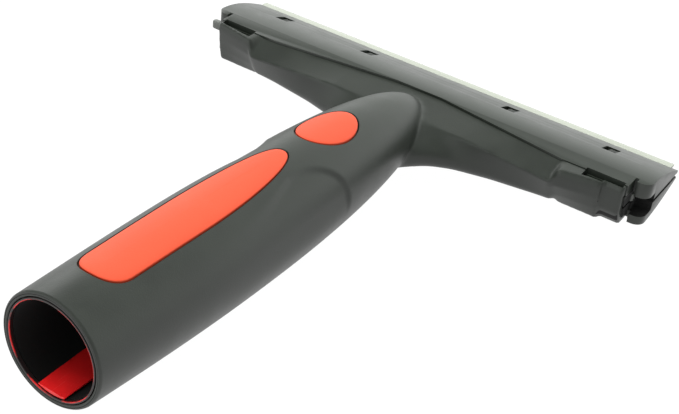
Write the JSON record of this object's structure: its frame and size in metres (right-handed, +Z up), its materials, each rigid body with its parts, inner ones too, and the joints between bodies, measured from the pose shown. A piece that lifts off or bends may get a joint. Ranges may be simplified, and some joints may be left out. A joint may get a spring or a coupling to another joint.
{
  "type": "window squeegee",
  "caption": "Hand window squeegee: tapered handle with a pole socket and soft grip inlays, T-shaped yoke, and a pull-out clamping head with a silicone wiping blade.",
  "frame": {"origin": "bottom centre of the bounding box, under the middle of the squeegee lying on its underside", "axes": "+X along the blade, +Y from the handle's mouth to the blade's wiping edge, +Z up through the soft inlays"},
  "size_m": [0.2046, 0.239, 0.0437],
  "materials": {
    "shell": "fine matte moulded dark grey",
    "inlay": "soft matte orange-red",
    "leaf": "satin deep red",
    "jaw": "semi-gloss moulded dark grey",
    "bar": "satin mid grey",
    "silicone": "pale translucent silicone",
    "steel": "brushed spring steel"
  },
  "bodies": {
    "handle": {"handle_body": "shell", "grip_inlay": "inlay", "thumb_inlay": "inlay", "mouth_ring": "leaf"},
    "leaf": {"pole_leaf": "leaf"},
    "cartridge": {"upper_jaw": "jaw", "lower_jaw": "jaw", "blade": "silicone", "blade_stiffener": "steel"},
    "lock": {"lock_bar": "bar"}
  },
  "joints": [
    {"name": "cartridge_slide", "type": "slide", "parent": "handle", "child": "cartridge", "axis": [0, 1, 0], "range_m": [0, 0.045]},
    {"name": "lock_slide", "type": "slide", "parent": "cartridge", "child": "lock", "axis": [1, 0, 0], "range_m": [0, 0.0045]},
    {"name": "leaf_flex", "type": "hinge", "parent": "handle", "child": "leaf", "pos_m": [0.00225, -0.11631, 0.00985], "axis": [1, 0, 0], "range_deg": [0, 0.9], "stiffness_Nm_per_rad": 0.18}
  ]
}
